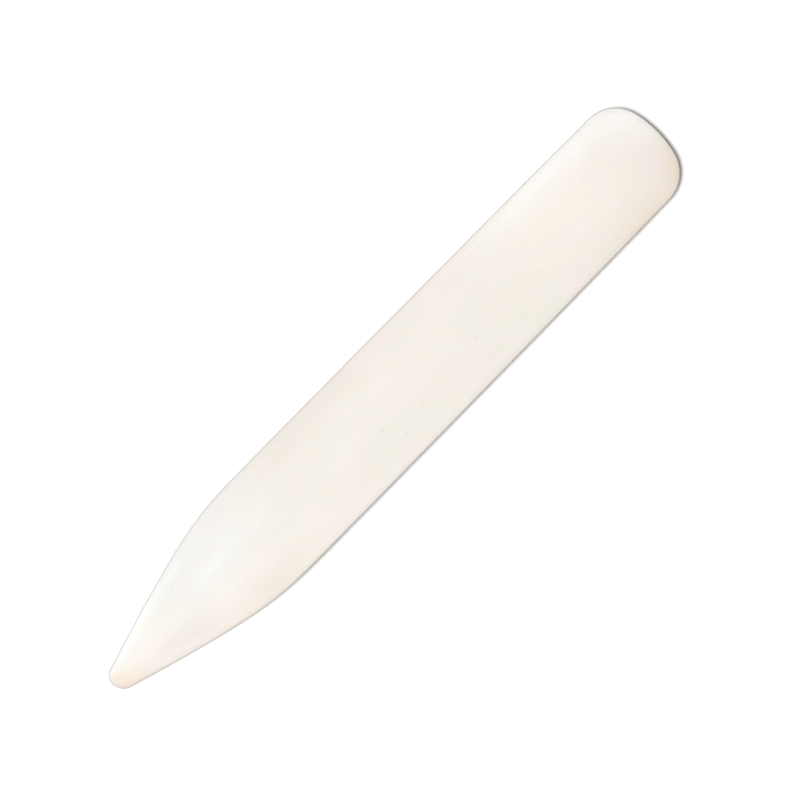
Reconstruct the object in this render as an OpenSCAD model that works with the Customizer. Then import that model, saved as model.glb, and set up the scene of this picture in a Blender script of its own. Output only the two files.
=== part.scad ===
// Bone folder, a hand tool for creasing, scoring and burnishing paper and card.
//
// The whole tool is one strip of bone, carved and polished, so the model has one sub-part.
// It lies along X with its point towards +X and its rounded butt towards -X, it is symmetrical
// about Y = 0, and it rests on its flat underside at Z = 0. The origin is the middle of the
// bounding box's bottom face. All sizes are in millimetres and all angles in degrees.

/* [Overall] */
// Length from the butt to the point
length = 152.4; // [130:0.2:200]
// Width across the shoulders, where the tool is widest
shoulder_w = 23.2; // [20:0.1:30]
// Width at the butt, just before its corners
butt_w = 22.5; // [19:0.1:30]

/* [Point] */
// Distance from the tip back to the shoulders
point_len = 48.6; // [40:0.1:60]
// Radius of the rounded tip, seen from above
tip_r = 2.65; // [2:0.05:4]
// Angle between each flank and the centre line, beside the tip
flank_angle = 16.8; // [12:0.1:18]
// Share of the point's length over which a flank keeps its angle
flank_hold = 0.62; // [0.4:0.01:0.65]
// Share of the point's length over which a flank settles into the side
shoulder_hold = 0.28; // [0.2:0.01:0.3]

/* [Butt] */
// Radius of the shallow arc across the butt
butt_end_r = 23.5; // [20:0.5:60]
// Radius of the butt's two corners
butt_corner_r = 7.7; // [3:0.1:9]

/* [Thickness] */
// Greatest thickness, along the middle of the tool
mid_t = 3.4; // [3:0.1:4.5]
// Thickness at the butt
butt_t = 2.8; // [1.8:0.1:3]
// Thickness at the point
tip_t = 1.9; // [1.2:0.1:2.4]
// Length over which the tool thins towards the butt
butt_taper = 30; // [15:1:60]
// Length over which the tool thins towards the point
tip_taper = 56; // [30:1:65]
// How much lower the top is beside the edges, as a share of the thickness
crown = 0.07; // [0.02:0.01:0.2]
// Radius that turns the side onto the top, and the same onto the underside
edge_r = 0.25; // [0.15:0.05:0.4]
// Angle at which the side leans in where it meets those radii, with the rim standing out between them
side_lean = 5; // [2:1:12]

/* [Smoothness] */
// Segments in each half of the rounded tip
tip_steps = 6; // [4:1:10]
// Segments along each flank
flank_steps = 20; // [12:1:30]
// Segments along each side
side_steps = 14; // [8:1:24]
// Segments round each corner of the butt
corner_steps = 9; // [5:1:14]
// Segments in each half of the arc across the butt
end_steps = 5; // [3:1:8]
// Segments from the rim to the start of each edge radius
side_rise_steps = 2; // [1:1:4]
// Segments round each edge radius
edge_steps = 4; // [3:1:7]
// Rings between the edge and the middle of the top
crown_steps = 4; // [2:1:6]

/* [Hidden] */

bone_colour = "#F4ECE1";

half_len = length / 2;
shoulder_h = shoulder_w / 2;
butt_h = butt_w / 2;

// Centre of the tip's arc, and the place along X where flanks become sides
tip_x = half_len - tip_r;
shoulder_x = half_len - point_len;

// The end arc's centre lies on the centre line. Each corner's arc touches it from inside.
end_x = butt_end_r - half_len;
corner_reach = butt_end_r - butt_corner_r;
corner_h = butt_h - butt_corner_r;
corner_x = end_x - sqrt(corner_reach * corner_reach - corner_h * corner_h);
end_angle = asin(corner_h / corner_reach);

// The crown's rings shrink towards a spine, which stops short of both ends, and they stop at
// crown_reach of the way to it. Straight strips close the top between the last ring's halves.
spine_front = half_len - 2 * tip_r;
spine_back = butt_h - half_len;
crown_reach = 0.8;

function arc_point(x, y, r, angle) = [x + r * cos(angle), y + r * sin(angle)];

function bezier_point(a, b, c, d, u) =
    pow(1 - u, 3) * a + 3 * pow(1 - u, 2) * u * b + 3 * (1 - u) * u * u * c + pow(u, 3) * d;

// One side of the outline, from the tip to the middle of the butt through positive Y
flank_start = arc_point(tip_x, 0, tip_r, 90 - flank_angle);
flank_end = [shoulder_x, shoulder_h];
flank_pull = flank_start + flank_hold * point_len * [-cos(flank_angle), sin(flank_angle)];
shoulder_pull = flank_end + [shoulder_hold * point_len, 0];

half_outline = concat(
    [for (i = [0 : tip_steps])
        arc_point(tip_x, 0, tip_r, (90 - flank_angle) * i / tip_steps)],
    [for (i = [1 : flank_steps])
        bezier_point(flank_start, flank_pull, shoulder_pull, flank_end, i / flank_steps)],
    [for (i = [1 : side_steps]) let (u = i / side_steps)
        [shoulder_x + (corner_x - shoulder_x) * u, shoulder_h + (butt_h - shoulder_h) * u * u]],
    [for (i = [1 : corner_steps])
        arc_point(corner_x, corner_h, butt_corner_r, 90 + (90 - end_angle) * i / corner_steps)],
    [for (i = [1 : end_steps])
        arc_point(end_x, 0, butt_end_r, 180 - end_angle * (1 - i / end_steps))]
);

// The whole outline, counter-clockwise from the tip
last = len(half_outline) - 1;
count = 2 * last;
outline = concat(half_outline, [for (i = [last - 1 : -1 : 1]) [half_outline[i].x, -half_outline[i].y]]);

// Unit vector from outline point i straight into the tool
function inward(i) =
    let (along = outline[(i + 1) % count] - outline[(i + count - 1) % count])
    [-along.y, along.x] / norm(along);

// Thickness along the centre line: level in the middle and curving down to both ends
function thickness(x) =
    mid_t
    - (mid_t - tip_t) * pow(max(0, x - half_len + tip_taper) / tip_taper, 2)
    - (mid_t - butt_t) * pow(max(0, -x - half_len + butt_taper) / butt_taper, 2);

// Angles above the plan that the edge faces, from the underside, round the rim, to the top
edge_turn = (90 - side_lean) / edge_steps;
edge_angles = concat(
    [for (k = [edge_steps : -1 : 1]) -side_lean - k * edge_turn],
    [for (k = [-side_rise_steps : side_rise_steps]) side_lean * k / side_rise_steps],
    [for (k = [1 : edge_steps]) side_lean + k * edge_turn]
);

// Point i of the edge where it faces an angle. The side is a shallow arc as far as side_lean,
// and an arc of edge_r carries on from it to the level.
function edge_point(i, angle) =
    let (
        start = outline[i],
        half_t = thickness(start.x) * (1 - crown) / 2,
        side_r = edge_r + (half_t - edge_r) / sin(side_lean),
        lean = sign(angle) * min(abs(angle), side_lean),
        inset = side_r * (1 - cos(lean)) + edge_r * (cos(lean) - cos(angle)),
        height = half_t + side_r * sin(lean) + edge_r * (sin(angle) - sin(lean)),
        p = start + inward(i) * inset
    )
    [p.x, p.y, height * thickness(p.x) / thickness(start.x)];

// Point i of the crowned top, at a share from 0 (top of the edge) to 1 (last ring)
function crown_point(i, share) =
    let (
        from = edge_point(i, 90),
        spine = [min(max(from.x, spine_back), spine_front), 0],
        p = [from.x, from.y] + (spine - [from.x, from.y]) * share * crown_reach
    )
    [p.x, p.y, thickness(p.x) * (1 - crown * pow(1 - share, 2))];

rings = concat(
    [for (angle = edge_angles) [for (i = [0 : count - 1]) edge_point(i, angle)]],
    [for (k = [1 : crown_steps]) [for (i = [0 : count - 1]) crown_point(i, k / crown_steps)]]
);

// Faces between ring k and the ring above it
function wall_faces(k) = [
    for (i = [0 : count - 1]) let (low = k * count, high = low + count, j = (i + 1) % count)
        [low + i, high + i, high + j, low + j]
];

// Strip i across ring k. The first and last strips end in a point, so they are triangles.
function strip(k, i) =
    let (
        left = k * count + i,
        right = k * count + (count - i) % count,
        next_right = k * count + count - i - 1
    )
    concat([left], right == left ? [] : [right], next_right == left + 1 ? [] : [next_right], [left + 1]);

function reversed(list) = [for (i = [len(list) - 1 : -1 : 0]) list[i]];

// The carved strip: the underside, the edge and the crowned top
module bone_folder() {
    top_ring = len(rings) - 1;
    color(bone_colour)
    polyhedron(
        points = [for (ring = rings) each ring],
        faces = concat(
            [for (i = [0 : last - 1]) reversed(strip(0, i))],
            [for (k = [0 : top_ring - 1]) each wall_faces(k)],
            [for (i = [0 : last - 1]) strip(top_ring, i)]
        ),
        convexity = 2
    );
}

bone_folder();
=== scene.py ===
"""A bone folder on a white floor: one strip of polished bone, pointed at one end, rounded at the other.

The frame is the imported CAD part: metres, +X towards the point, +Y across, +Z up, underside on Z = 0.
Shapes are worked out in millimetres and become metres when the mesh is made.
"""

import math

import bpy
import numpy as np
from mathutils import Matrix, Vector, noise


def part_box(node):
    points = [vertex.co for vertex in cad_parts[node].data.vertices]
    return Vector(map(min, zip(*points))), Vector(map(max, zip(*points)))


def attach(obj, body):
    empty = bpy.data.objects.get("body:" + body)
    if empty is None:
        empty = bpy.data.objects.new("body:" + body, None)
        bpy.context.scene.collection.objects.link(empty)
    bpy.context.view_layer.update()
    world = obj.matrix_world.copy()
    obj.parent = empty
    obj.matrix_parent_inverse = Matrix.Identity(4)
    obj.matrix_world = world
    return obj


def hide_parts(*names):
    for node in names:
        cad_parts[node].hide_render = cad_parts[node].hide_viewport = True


MM = 0.001

# ---------------------------------------------------------------- sizes, in millimetres

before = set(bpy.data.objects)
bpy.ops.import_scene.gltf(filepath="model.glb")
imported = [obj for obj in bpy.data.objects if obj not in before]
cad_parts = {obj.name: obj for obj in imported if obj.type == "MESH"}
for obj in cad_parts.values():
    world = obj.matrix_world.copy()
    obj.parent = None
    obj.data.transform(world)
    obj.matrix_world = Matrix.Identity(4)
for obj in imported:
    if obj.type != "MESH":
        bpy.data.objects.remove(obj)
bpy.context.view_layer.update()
NODE = "bone_folder"
BODY = "root"

box_low, box_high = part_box(NODE)
HALF_LENGTH = (box_high.x - box_low.x) / 2 / MM
SHOULDER_H = (box_high.y - box_low.y) / 2 / MM
MID_T = (box_high.z - box_low.z) / MM

# Outline. Hand work has left it not quite symmetrical: the tip's radius is given by side, 1 for +Y and
# -1 for -Y, and the arc across the butt is centred a little towards -Y.
BUTT_H = 11.25
TIP_R = {1: 3.05, -1: 2.55}
FLANK_ANGLE = math.radians(16.8)
POINT_LENGTH = 48.6
FLANK_HOLD = 0.62
SHOULDER_HOLD = 0.28
END_R = 23.5
END_SHIFT = -0.3
CORNER_R = 7.7

# Thickness at both ends, the lengths over which it is reached, and the crown in the middle part and at
# the tip, as a share of the thickness
BUTT_T = 2.8
TIP_T = 1.9
BUTT_TAPER = 30.0
TIP_TAPER = 56.0
CROWN = 0.07
CROWN_TIP = 0.08

# Edge: the arris's radius, the side's slope where it meets the arris, and how deep and how far in
# handling has eased the border of the top
EDGE_R = 0.25
SIDE_BULGE = math.radians(5)
EASE = 0.03
EASE_WIDTH = 0.9

# Unevenness left by hand: depth, length along X, length along Y, and the level where the noise is cut
RIM_WAVES = (0.04, 14.0, 9.0, 5.0)
TOP_WAVES = ((0.035, 26.0, 9.0, 26.0), (0.012, 9.0, 3.5, 9.0))

# Mesh density. The band is the part of the top and the underside that follows the rim.
TIP_STEPS = 14
FLANK_STEPS = 90
SIDE_STEPS = 170
CORNER_STEPS = 30
END_STEPS = 20
SIDE_STEPS_UP = 2
TURN_STEPS = 8
BAND_WIDTH = 2.2
BAND_STEPS = 9
ACROSS_STEPS = 40

# Places whose distance to the rim is worked out at one time
AT_ONCE = 2000

# Distance from the rim over which handling has polished the bone; the painted shade along the rim is
# measured over it too
RIM_REACH = 3.0

# Slopes of the edge between which the duller filed side gives way to the polished face
FILED = math.radians(55)
POLISHED = math.radians(88)

# Slope past the side's own at which the arris's painted shade is at its greyest
ARRIS_SHADE_SLOPE = math.radians(20)


# ---------------------------------------------------------------- shape

def arc(centre, radius, start, end, steps):
    """Points on an arc, from just after its start angle to its end angle."""
    angles = start + (end - start) * np.arange(1, steps + 1) / steps
    return np.stack([centre[0] + radius * np.cos(angles), centre[1] + radius * np.sin(angles)], 1)


def bezier(points, steps):
    """Points on a cubic Bezier curve, from just after its first point to its last."""
    a, b, c, d = (np.array(p) for p in points)
    u = (np.arange(1, steps + 1) / steps)[:, None]
    return (1 - u) ** 3 * a + 3 * (1 - u) ** 2 * u * b + 3 * (1 - u) * u ** 2 * c + u ** 3 * d


def half_outline(side):
    """One side of the outline, from the tip to the middle of the butt."""
    tip_r = TIP_R[side]
    apex = np.array([[HALF_LENGTH, 0.0]])
    tip = arc((HALF_LENGTH - tip_r, 0), tip_r, 0, math.pi / 2 - FLANK_ANGLE, TIP_STEPS)

    shoulder = np.array([HALF_LENGTH - POINT_LENGTH, SHOULDER_H])
    along = POINT_LENGTH * np.array([-math.cos(FLANK_ANGLE), math.sin(FLANK_ANGLE)])
    settle = np.array([SHOULDER_HOLD * POINT_LENGTH, 0])
    flank = bezier((tip[-1], tip[-1] + FLANK_HOLD * along, shoulder + settle, shoulder), FLANK_STEPS)

    end = np.array([END_R - HALF_LENGTH, END_SHIFT * side])
    reach = END_R - CORNER_R
    rise = BUTT_H - CORNER_R - end[1]
    corner = np.array([end[0] - math.sqrt(reach ** 2 - rise ** 2), BUTT_H - CORNER_R])
    end_angle = math.asin(rise / reach)

    u = np.arange(1, SIDE_STEPS + 1) / SIDE_STEPS
    edge_x = shoulder[0] + (corner[0] - shoulder[0]) * u
    edge_y = SHOULDER_H + (BUTT_H - SHOULDER_H) * u ** 2
    edge = np.stack([edge_x, edge_y], 1)
    turn = arc(corner, CORNER_R, math.pi / 2, math.pi - end_angle, CORNER_STEPS)
    butt = arc(end, END_R, math.pi - end_angle, math.pi, END_STEPS)
    points = np.concatenate([apex, tip, flank, edge, turn, butt])
    return points * [1, side]


def outline():
    """The whole outline, counter-clockwise from the tip."""
    left = half_outline(1)
    right = half_outline(-1)
    return np.concatenate([left, right[-2:0:-1]])


def inward_normals(points):
    along = np.roll(points, -1, 0) - np.roll(points, 1, 0)
    normals = np.stack([-along[:, 1], along[:, 0]], 1)
    return normals / np.linalg.norm(normals, axis=1)[:, None]


def unevenness(x, y, waves):
    """Depths that vary smoothly over the plan, from 0 to the depth of the waves."""
    depth, length, width, level = waves
    values = [noise.noise(Vector((a / length, b / width, level))) for a, b in zip(x, y)]
    return depth * (0.5 + 0.5 * np.array(values))


def wobbled(points):
    """The outline with the slight unevenness of hand filing."""
    depths = unevenness(points[:, 0], points[:, 1], RIM_WAVES)
    return points + inward_normals(points) * depths[:, None]


def taper(x):
    """Share of the way down each end's taper, from 0 in the middle part: (tip, butt)."""
    tip = np.maximum(0, x - HALF_LENGTH + TIP_TAPER) / TIP_TAPER
    butt = np.maximum(0, -x - HALF_LENGTH + BUTT_TAPER) / BUTT_TAPER
    return tip ** 2, butt ** 2


class Surface:
    """The folder's top over its plan, in millimetres."""

    def __init__(self, points):
        self.start = points
        self.step = np.roll(points, -1, 0) - points
        # The +Y half of the outline, from the butt to the tip
        self.side = points[len(points) // 2::-1]

    def rim_distance(self, x, y):
        """Distance from each place to the nearest stretch of the outline."""
        places = np.column_stack([x, y])
        near = []
        for some in np.array_split(places, len(places) // AT_ONCE + 1):
            away = some[:, None] - self.start
            share = np.clip((away * self.step).sum(2) / (self.step ** 2).sum(1), 0, 1)
            near.append(np.linalg.norm(away - self.step * share[..., None], axis=2).min(1))
        return np.concatenate(near)

    def half_width(self, x):
        """Half the folder's width, level over the rear half and never under the tip's radius."""
        width = np.interp(x, self.side[:, 0], self.side[:, 1])
        return np.clip(np.where(x < 0, BUTT_H, width), TIP_R[1], SHOULDER_H)

    def top(self, x, y):
        """Height of the top at each place."""
        tip, butt = taper(x)
        thickness = MID_T - (MID_T - TIP_T) * tip - (MID_T - BUTT_T) * butt
        from_rim = self.rim_distance(x, y)
        crown = CROWN + (CROWN_TIP - CROWN) * tip ** 0.5
        height = thickness * (1 - crown * (1 - np.clip(from_rim / self.half_width(x), 0, 1)) ** 2)
        height = height - EASE * (1 - np.clip(from_rim / EASE_WIDTH, 0, 1)) ** 2
        for waves in TOP_WAVES:
            height = height - unevenness(x, y, waves)
        return height


def edge_profile(depth, angle):
    """The edge where its normal is at an angle above the plan: inset from the rim, share of the depth.

    The side is a shallow arc that bulges to the rim, and small arcs turn it onto the top and the
    underside.
    """
    side_r = EDGE_R + (depth / 2 - EDGE_R) / math.sin(SIDE_BULGE)
    lean = math.copysign(min(abs(angle), SIDE_BULGE), angle)
    inset = side_r * (1 - math.cos(lean)) + EDGE_R * (math.cos(lean) - math.cos(angle))
    rise = side_r * math.sin(lean) + EDGE_R * (math.sin(angle) - math.sin(lean))
    return inset, 0.5 + rise / depth


def stations():
    """Where the rings lie: out along the underside's band, round the edge, and in over the top's band.

    An "edge" ring comes with the angle of its normal, an "under" or "over" ring with its share of the
    way from the edge to the inner side of the band.
    """
    band = np.arange(1, BAND_STEPS + 1) / BAND_STEPS
    turn = np.linspace(SIDE_BULGE, math.pi / 2, TURN_STEPS + 1)[1:]
    side = np.linspace(-SIDE_BULGE, SIDE_BULGE, 2 * SIDE_STEPS_UP + 1)
    under = [("under", share) for share in band[::-1]]
    edge = [("edge", angle) for angle in (*-turn[::-1], *side, *turn)]
    over = [("over", share) for share in band]
    return under + edge + over


def rings(points, surface):
    """Vertices of the rings, and how far each is on the filed side and on the arris, from 0 to 1. The
    arris's share sets how much painted shade greys it.
    """
    inward = inward_normals(points)
    depth = surface.top(*(points + inward * EDGE_R).T)
    edge_width = edge_profile(depth, math.pi / 2)[0]
    verts, filed, arris = [], [], []
    for kind, value in stations():
        if kind == "edge":
            inset, lift = edge_profile(depth, value)
            side_share = min(max((POLISHED - abs(value)) / (POLISHED - FILED), 0), 1)
            arris_shade_share = min(max((abs(value) - SIDE_BULGE) / ARRIS_SHADE_SLOPE, 0), side_share)
        else:
            inset = edge_width + (BAND_WIDTH - edge_width) * value
            lift = 0 if kind == "under" else 1
            side_share = arris_shade_share = 0
        plan = points + inward * inset[:, None]
        verts.append(np.column_stack([plan, surface.top(plan[:, 0], plan[:, 1]) * lift]))
        filed += [side_share] * len(points)
        arris += [arris_shade_share] * len(points)
    return np.concatenate(verts), filed, arris


def wall_faces(count, low):
    """Faces between the ring whose vertices start at low and the ring after it."""
    high = low + count
    return [(low + i, low + (i + 1) % count, high + (i + 1) % count, high + i) for i in range(count)]


def cap_verts(ring):
    """Vertices in rows straight across, between the two halves of a ring."""
    rows = np.arange(1, len(ring) // 2)
    left = ring[rows][:, None]
    right = ring[len(ring) - rows][:, None]
    shares = (np.arange(1, ACROSS_STEPS) / ACROSS_STEPS)[:, None]
    return (left * (1 - shares) + right * shares).reshape(-1, 3)


def cap_faces(count, base, first):
    """Upward faces inside the ring that starts at base, whose rows of vertices start at first."""
    half = count // 2

    def at(row, column):
        if row in (0, half) or column == 0:
            return base + row
        if column == ACROSS_STEPS:
            return base + count - row
        return first + (row - 1) * (ACROSS_STEPS - 1) + column - 1

    faces = []
    for row in range(half):
        for column in range(ACROSS_STEPS):
            near = (at(row, column), at(row + 1, column))
            far = (at(row + 1, column + 1), at(row, column + 1))
            # The rows at both ends shrink to a point, so their faces are triangles
            faces.append(tuple(dict.fromkeys(near + far)))
    return faces


def folder_mesh():
    """Vertices in mm and faces of the folder, and the shares that its material reads by name."""
    points = wobbled(outline())
    surface = Surface(points)
    count = len(points)
    verts, filed, arris = rings(points, surface)
    last = len(verts) - count
    top = cap_verts(verts[last:])
    top[:, 2] = surface.top(top[:, 0], top[:, 1])
    underside = cap_verts(verts[:count])

    faces = []
    for low in range(0, last, count):
        faces += wall_faces(count, low)
    faces += cap_faces(count, last, len(verts))
    faces += [face[::-1] for face in cap_faces(count, 0, len(verts) + len(top))]

    verts = np.concatenate([verts, top, underside])
    from_rim = surface.rim_distance(verts[:, 0], verts[:, 1])
    on_caps = [0] * (len(top) + len(underside))
    shares = {
        "rim_nearness": np.clip(1 - from_rim / RIM_REACH, 0, 1),
        "filed": filed + on_caps,
        "arris": arris + on_caps,
    }
    return verts, faces, shares


def make_folder(material):
    verts, faces, shares = folder_mesh()
    mesh = bpy.data.meshes.new("carved_bone")
    mesh.from_pydata((verts * MM).tolist(), [], faces)
    mesh.validate()
    mesh.polygons.foreach_set("use_smooth", [True] * len(mesh.polygons))
    for name, values in shares.items():
        layer = mesh.attributes.new(name, "FLOAT", "POINT")
        layer.data.foreach_set("value", np.array(values, np.float32))
    mesh.materials.append(material)
    piece = bpy.data.objects.new("carved_bone", mesh)
    bpy.context.scene.collection.objects.link(piece)
    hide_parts(NODE)
    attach(piece, BODY)


# ---------------------------------------------------------------- materials

class Graph:
    """A short way to write a material's nodes."""

    def __init__(self, name):
        self.material = bpy.data.materials.new(name)
        self.material.use_nodes = True
        self.tree = self.material.node_tree
        self.tree.nodes.clear()

    def feed(self, socket, value):
        """Links a socket to another node's output, or sets it to a constant."""
        if isinstance(value, bpy.types.NodeSocket):
            self.tree.links.new(value, socket)
        else:
            socket.default_value = value

    def add(self, kind, inputs=(), output=0, **settings):
        """Makes a node, feeds its inputs, and returns one of its outputs."""
        made = self.tree.nodes.new("ShaderNode" + kind)
        for name, value in settings.items():
            setattr(made, name, value)
        for key, value in dict(inputs).items():
            self.feed(made.inputs[key], value)
        return made.outputs[output]

    def vertex_share(self, name):
        """A share from 0 to 1 that the mesh holds for each vertex."""
        return self.add("Attribute", attribute_name=name, output="Fac")

    def maths(self, operation, a, b):
        return self.add("Math", {0: a, 1: b}, operation=operation)

    def stretched(self, vector, scale):
        return self.add("VectorMath", {0: vector, 1: scale}, operation="MULTIPLY")

    def noise(self, place, texture):
        """Smooth noise from 0 to 1. Its texture gives scale, detail, roughness and distortion."""
        scale, detail, roughness, distortion = texture
        return self.add("TexNoise", {
            "Vector": self.stretched(place, scale),
            "Scale": 1.0,
            "Detail": detail,
            "Roughness": roughness,
            "Distortion": distortion,
        })

    def span(self, value, ends, to=(0.0, 1.0)):
        """Maps a value from one pair of ends to another, smoothly and without passing them."""
        inputs = {
            "Value": value,
            "From Min": ends[0],
            "From Max": ends[1],
            "To Min": to[0],
            "To Max": to[1],
        }
        return self.add("MapRange", inputs, interpolation_type="SMOOTHSTEP")

    def spot(self, place, centre, radii, strength):
        """A soft oval over the plan, from its strength at the centre to 0 at the border."""
        away = self.add("VectorMath", {0: place, 1: (-centre[0], -centre[1], 0)}, operation="ADD")
        flat = self.stretched(away, (1 / radii[0], 1 / radii[1], 0))
        reach = self.add("VectorMath", {0: flat}, output="Value", operation="LENGTH")
        return self.span(reach, (1.0, 0.0), (0.0, strength))

    def mix(self, share, a, b):
        """Colour a with a share of colour b."""
        made = self.tree.nodes.new("ShaderNodeMix")
        made.data_type = "RGBA"
        for name, kind, value in (("Factor", "VALUE", share), ("A", "RGBA", a), ("B", "RGBA", b)):
            self.feed(next(s for s in made.inputs if s.name == name and s.type == kind), value)
        return next(s for s in made.outputs if s.type == "RGBA")

    def finished(self, shader):
        target = self.tree.nodes.new("ShaderNodeOutputMaterial")
        self.tree.links.new(shader, target.inputs["Surface"])
        return self.material


# Tints of the bone, and of the light and shade painted on it, in linear colour
CREAM = (0.757, 0.708, 0.656, 1)
PALE = (0.785, 0.745, 0.702, 1)
ROSE = (0.775, 0.709, 0.664, 1)
SAGE = (0.751, 0.719, 0.656, 1)
# The light and milk tints are painted light: they brighten the butt and its −Y corner, which slope away
# from the light
PAINTED_LIGHT_CREAM = (0.82, 0.765, 0.705, 1)
PAINTED_LIGHT_WHITE = (0.87, 0.855, 0.83, 1)
COOL = (0.755, 0.752, 0.722, 1)
# The ash tint is painted shade: it darkens the −Y flank near the tip, which faces the light
ASH_PAINTED_SHADE = (0.68, 0.69, 0.675, 1)
DULL = (0.69, 0.635, 0.58, 1)
TAN = (0.67, 0.56, 0.46, 1)
GOLD = (0.72, 0.58, 0.42, 1)
WORN = (0.575, 0.50, 0.43, 1)
CANAL = (0.50, 0.38, 0.27, 1)
# The sawn tint is the filed side's duller colour, darkened further as painted shade so the outline
# reads dark
SAWN_AND_SHADE = (0.72, 0.645, 0.57, 1)
# The grey tint is painted shade: it greys the arris and the band along the rim so the outline reads
# dark
EDGE_SHADE_GREY = (0.49, 0.495, 0.485, 1)

# Broad tints, some the bone's own and some painted light and shade: centre and radii over the plan in
# mm, tint, strength
PATCHES = (
    ((46, -3), (28, 10), COOL, 1.0),
    # Painted shade: the three ash patches darken the −Y flank near the tip, which faces the light
    ((38, -12), (22, 6), ASH_PAINTED_SHADE, 1.0),
    ((58, -9), (26, 7), ASH_PAINTED_SHADE, 1.0),
    ((73, -3.5), (14, 5.5), ASH_PAINTED_SHADE, 0.9),
    ((54, 9.5), (32, 6.5), DULL, 1.0),
    ((44, 10), (26, 5), TAN, 0.16),
    ((12, -13.5), (50, 8.5), DULL, 1.0),
    # Painted light: these three patches brighten the butt and its −Y corner, which slope away from the
    # light
    ((-55, -3), (31, 16), PAINTED_LIGHT_CREAM, 0.9),
    ((-58, -12), (34, 9), PAINTED_LIGHT_WHITE, 1.0),
    ((-76, -7), (12, 11), PAINTED_LIGHT_WHITE, 0.9),
    ((-64, 13), (22, 8), GOLD, 0.5),
    ((-76, 9), (8, 8), GOLD, 0.7),
    ((70, 4.5), (22, 7), DULL, 0.9),
    ((77, 2), (9, 6), GOLD, 0.9),
    ((78, 0), (5, 5), TAN, 0.7),
    ((76.6, 0.4), (4.5, 4), WORN, 1.0),
)

# Small pits and smudges: centre and radii in mm, tint, strength. The first one's pale spot is a painted
# glint on a nick.
MARKS = (
    # Painted highlight: the nick here is a pit in the relief, and its glint is painted as a pale spot
    ((1.1, 5.9), (0.5, 0.35), PALE, 0.9),
    ((0.3, 6.6), (0.8, 0.3), TAN, 0.5),
    ((3.3, 3.0), (1.1, 0.8), DULL, 0.5),
    ((-22.1, 3.1), (0.7, 0.5), TAN, 0.5),
    ((-22.7, 5.5), (0.4, 0.35), TAN, 0.6),
)

# Where the grain comes through most: centre and radii in mm, and what it adds to the canals' grouping
GRAINY = (
    ((-40, 6), (13, 6), 0.16),
    ((-62, 8), (16, 6), 0.16),
    ((-12, 3), (7, 5), 0.12),
)

# Textures: repeats per mm along X, Y and Z, then detail, roughness and distortion
DRIFT = ((1 / 30, 1 / 14, 1 / 14), 2.0, 0.5, 0.0)
CLOUDS = ((1 / 17, 1 / 6, 1 / 6), 4.0, 0.55, 0.3)
HUES = ((1 / 9, 1 / 5, 1 / 5), 3.0, 0.5, 0.4)
FIBRES = ((0.16, 2.0, 2.0), 5.0, 0.65, 0.0)
CANAL_GROUPS = ((0.07, 0.35, 0.35), 2.0, 0.5, 0.0)
SCRATCHES = ((0.04, 9.0, 9.0), 3.0, 0.7, 0.0)
FILING = ((0.3, 0.3, 3.5), 3.0, 0.6, 0.2)
CANAL_SCALE = (0.4, 3.2, 3.2)

# How far the grain wanders sideways, in mm
GRAIN_DRIFT = 2.2

# Values of a texture between which each feature comes in
PALE_SPAN = (0.35, 0.65)
ROSE_SPAN = (0.70, 0.42)
SAGE_SPAN = (0.30, 0.58)
FIBRE_SPAN = (0.32, 0.68)
CANAL_SPAN = (0.22, 0.06)
CANAL_GROUP_SPAN = (0.45, 0.62)
SCRATCH_SPAN = (0.55, 0.75)
FILING_SPAN = (0.35, 0.65)
ROUGH_SPAN = (0.3, 0.7)

# Largest share of its tint that each feature mixes in
FIBRE_TINT = 0.12
CANAL_TINT = 0.3
# The rim's tint is painted shade that greys the band along the rim
RIM_SHADE_TINT = 0.13
# The filed side's tint is partly its duller colour and partly painted shade that darkens the outline
FILED_AND_SHADE_TINT = 0.8
FILING_TINT = 0.12

# Painted shade along the outline: nearness to the rim at which the band along it starts to grey, and at
# which it is at its greyest
RIM_SHADE_SPAN = (0.5, 0.8)

# Painted shade: the arris is greyed less on the +Y side than on the −Y side, which faces the light.
# Places along Y in mm, and its share of grey at each
ARRIS_SHADE_SPAN = (11.0, 0.0)
ARRIS_SHADE_TINT = (0.5, 0.92)

# Roughness of the clouds, and what each feature adds to it or takes from it
ROUGHNESS = (0.46, 0.56)
SCRATCH_ROUGHNESS = 0.08
POLISH_SMOOTHNESS = 0.1
FILING_ROUGHNESS = 0.15

# Relief: depth of the canals in metres, and the other features' as multiples of it
CANAL_DEPTH = 0.000006
FIBRE_RELIEF = 0.6
SCRATCH_RELIEF = 0.3
FILING_RELIEF = 1.5

BONE_IOR = 1.54

# Light that scatters inside the bone: its share, its depth in metres, and that depth's share for red,
# green and blue
SUBSURFACE = 0.15
SUBSURFACE_DEPTH = 0.0004
SUBSURFACE_SPREAD = (1.0, 0.6, 0.35)


def face_colour(g, place, grain, cloud):
    """The face's broad colours: pale clouds, hues that drift to both sides of them, and patches, some
    of which are painted light and shade.
    """
    colour = g.mix(g.span(cloud, PALE_SPAN), CREAM, PALE)
    hue = g.noise(grain, HUES)
    colour = g.mix(g.span(hue, ROSE_SPAN), colour, ROSE)
    colour = g.mix(g.span(hue, SAGE_SPAN), colour, SAGE)
    for centre, radii, tint, strength in PATCHES:
        colour = g.mix(g.spot(place, centre, radii, strength), colour, tint)
    return colour


def canal_share(g, place, grain):
    """Small lengthwise canals, in groups that are thickest where the grain comes through."""
    cell_place = g.stretched(grain, CANAL_SCALE)
    cells = g.add("TexVoronoi", {"Vector": cell_place, "Scale": 1.0}, output="Distance")
    group = g.noise(grain, CANAL_GROUPS)
    for centre, radii, extra in GRAINY:
        group = g.maths("ADD", group, g.spot(place, centre, radii, extra))
    return g.maths("MULTIPLY", g.span(cells, CANAL_SPAN), g.span(group, CANAL_GROUP_SPAN))


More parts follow.
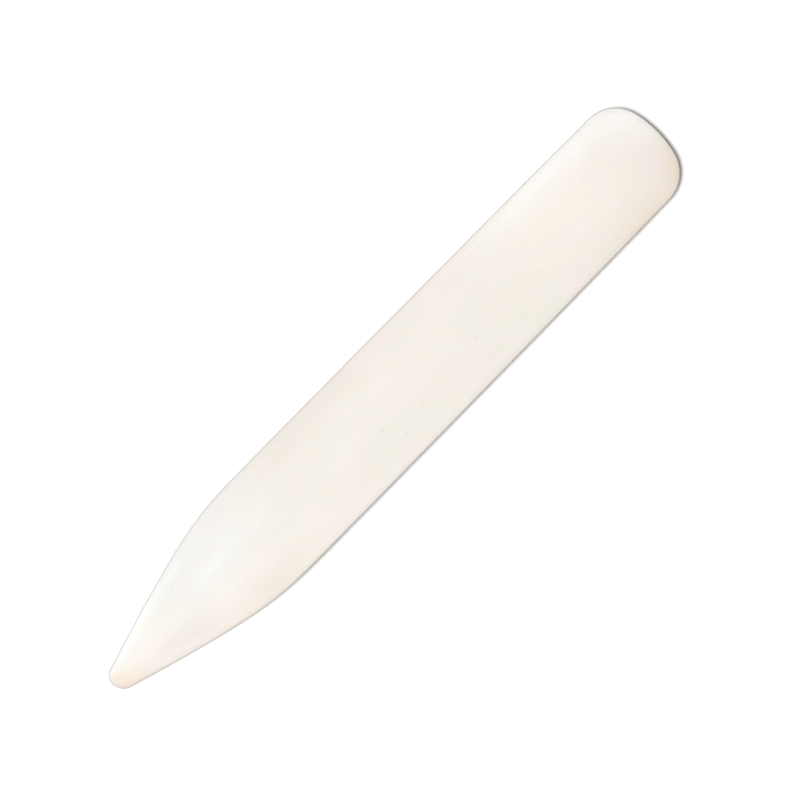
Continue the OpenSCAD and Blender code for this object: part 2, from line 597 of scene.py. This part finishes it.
def bone_material():
    g = Graph("polished_bone")
    metres = g.add("TexCoord", output="Object")
    place = g.stretched(metres, (1 / MM, 1 / MM, 1 / MM))
    bent = g.add("CombineXYZ", {"Y": g.maths("MULTIPLY", g.noise(place, DRIFT), GRAIN_DRIFT)})
    grain = g.add("VectorMath", {0: place, 1: bent}, operation="ADD")

    # The face
    cloud = g.noise(grain, CLOUDS)
    colour = face_colour(g, place, grain, cloud)
    fibres = g.noise(grain, FIBRES)
    colour = g.mix(g.span(fibres, FIBRE_SPAN, (FIBRE_TINT, 0.0)), colour, TAN)
    canals = canal_share(g, place, grain)
    colour = g.mix(g.maths("MULTIPLY", canals, CANAL_TINT), colour, CANAL)
    pits = 0.0
    for centre, radii, tint, strength in MARKS:
        mark = g.spot(place, centre, radii, strength)
        pits = g.maths("ADD", pits, mark)
        colour = g.mix(mark, colour, tint)

    # The rim, the filed side and the arris between them: the grey on the rim band and the arris is
    # painted shade, and the filed side's tint is partly painted shade
    rim_nearness = g.vertex_share("rim_nearness")
    colour = g.mix(g.span(rim_nearness, RIM_SHADE_SPAN, (0.0, RIM_SHADE_TINT)), colour, EDGE_SHADE_GREY)
    filed = g.vertex_share("filed")
    colour = g.mix(g.maths("MULTIPLY", filed, FILED_AND_SHADE_TINT), colour, SAWN_AND_SHADE)
    across = g.add("SeparateXYZ", {"Vector": place}, output="Y")
    arris_shade = g.maths("MULTIPLY", g.vertex_share("arris"), g.span(across, ARRIS_SHADE_SPAN, ARRIS_SHADE_TINT))
    colour = g.mix(arris_shade, colour, EDGE_SHADE_GREY)
    file_marks = g.maths("MULTIPLY", filed, g.span(g.noise(place, FILING), FILING_SPAN))
    colour = g.mix(g.maths("MULTIPLY", file_marks, FILING_TINT), colour, CANAL)

    # The finish
    scratches = g.noise(grain, SCRATCHES)
    rough = g.span(cloud, ROUGH_SPAN, ROUGHNESS)
    rough = g.maths("ADD", rough, g.span(scratches, SCRATCH_SPAN, (0.0, SCRATCH_ROUGHNESS)))
    rough = g.maths("SUBTRACT", rough, g.maths("MULTIPLY", rim_nearness, POLISH_SMOOTHNESS))
    rough = g.maths("ADD", rough, g.maths("MULTIPLY", file_marks, FILING_ROUGHNESS))
    fibre_height = g.maths("MULTIPLY", fibres, FIBRE_RELIEF)
    height = g.maths("ADD", fibre_height, g.maths("MULTIPLY", scratches, SCRATCH_RELIEF))
    height = g.maths("SUBTRACT", height, g.maths("ADD", canals, pits))
    height = g.maths("SUBTRACT", height, g.maths("MULTIPLY", file_marks, FILING_RELIEF))
    bump = g.add("Bump", {"Strength": 1.0, "Distance": CANAL_DEPTH, "Height": height})

    shader = g.add("BsdfPrincipled", {
        "Base Color": colour,
        "Roughness": rough,
        "IOR": BONE_IOR,
        "Normal": bump,
        "Subsurface Weight": SUBSURFACE,
        "Subsurface Radius": SUBSURFACE_SPREAD,
        "Subsurface Scale": SUBSURFACE_DEPTH,
    })
    return g.finished(shader)


FLOOR_WHITE = (0.885, 0.885, 0.885, 1)


def floor_material():
    """A matt white that shows no highlight."""
    g = Graph("pale_floor")
    shader = g.add("BsdfPrincipled", {
        "Base Color": FLOOR_WHITE,
        "Roughness": 1.0,
        "Specular IOR Level": 0.0,
    })
    return g.finished(shader)


# ---------------------------------------------------------------- stage, light and camera, in metres

# Floor: half its length, and how far it lies below the underside
FLOOR_HALF = 3.0
FLOOR_GAP = 0.00002

# Camera: the width that it sees at the height of the rim, and the place on the plan below it. Its lens
# and sensor are in millimetres.
VIEW_WIDTH = 0.1569
VIEW_CENTRE = (-0.0032, 0.0011)
VIEW_TURN = math.radians(134.51)
RIM_HEIGHT = MID_T / 2 * MM
LENS = 120.0
SENSOR = 36.0
CLIP_NEAR = 0.01
CLIP_FAR = 10.0

# Light: a soft key from above, a little towards the point's end, and a white sky that is bright at the
# horizon and fades between two elevations to a dimmer one
KEY_FROM = (0.34, -0.12, 1.0)
KEY_STRENGTH = 3.2
KEY_SOFTNESS = math.radians(21)
HORIZON = 1.0
HORIZON_TOP = math.radians(5)
SKY_START = math.radians(10)
SKY = 0.18


def make_floor():
    mesh = bpy.data.meshes.new("floor")
    signs = [(-1, -1), (1, -1), (1, 1), (-1, 1)]
    corners = [(x * FLOOR_HALF, y * FLOOR_HALF, -FLOOR_GAP) for x, y in signs]
    mesh.from_pydata(corners, [], [(0, 1, 2, 3)])
    mesh.materials.append(floor_material())
    floor = bpy.data.objects.new("floor", mesh)
    bpy.context.scene.collection.objects.link(floor)


def make_key():
    """One broad, distant light, so the floor is lit evenly as far as it reaches."""
    lamp = bpy.data.lights.new("key_light", "SUN")
    lamp.energy = KEY_STRENGTH
    lamp.angle = KEY_SOFTNESS
    light = bpy.data.objects.new("key_light", lamp)
    light.rotation_euler = Vector(KEY_FROM).to_track_quat("Z", "Y").to_euler()
    bpy.context.scene.collection.objects.link(light)


def make_sky():
    world = bpy.data.worlds.new("studio")
    world.use_nodes = True
    tree = world.node_tree
    place = tree.nodes.new("ShaderNodeTexCoord")
    split = tree.nodes.new("ShaderNodeSeparateXYZ")
    fade = tree.nodes.new("ShaderNodeMapRange")
    fade.interpolation_type = "SMOOTHSTEP"
    fade.inputs["From Min"].default_value = math.sin(HORIZON_TOP)
    fade.inputs["From Max"].default_value = math.sin(SKY_START)
    fade.inputs["To Min"].default_value = HORIZON
    fade.inputs["To Max"].default_value = SKY
    background = tree.nodes["Background"]
    background.inputs["Color"].default_value = (1, 1, 1, 1)
    tree.links.new(place.outputs["Generated"], split.inputs["Vector"])
    tree.links.new(split.outputs["Z"], fade.inputs["Value"])
    tree.links.new(fade.outputs["Result"], background.inputs["Strength"])
    bpy.context.scene.world = world


def make_camera():
    """A long lens straight above, turned so that the point is at the picture's lower left."""
    data = bpy.data.cameras.new("camera")
    data.lens = LENS
    data.sensor_width = SENSOR
    data.clip_start = CLIP_NEAR
    data.clip_end = CLIP_FAR
    camera = bpy.data.objects.new("camera", data)
    camera.location = (*VIEW_CENTRE, VIEW_WIDTH * LENS / SENSOR + RIM_HEIGHT)
    camera.rotation_euler = (0, 0, VIEW_TURN)
    bpy.context.scene.collection.objects.link(camera)
    bpy.context.scene.camera = camera


make_camera()
make_folder(bone_material())
make_floor()
make_key()
make_sky()
bpy.context.scene.view_settings.view_transform = "Standard"
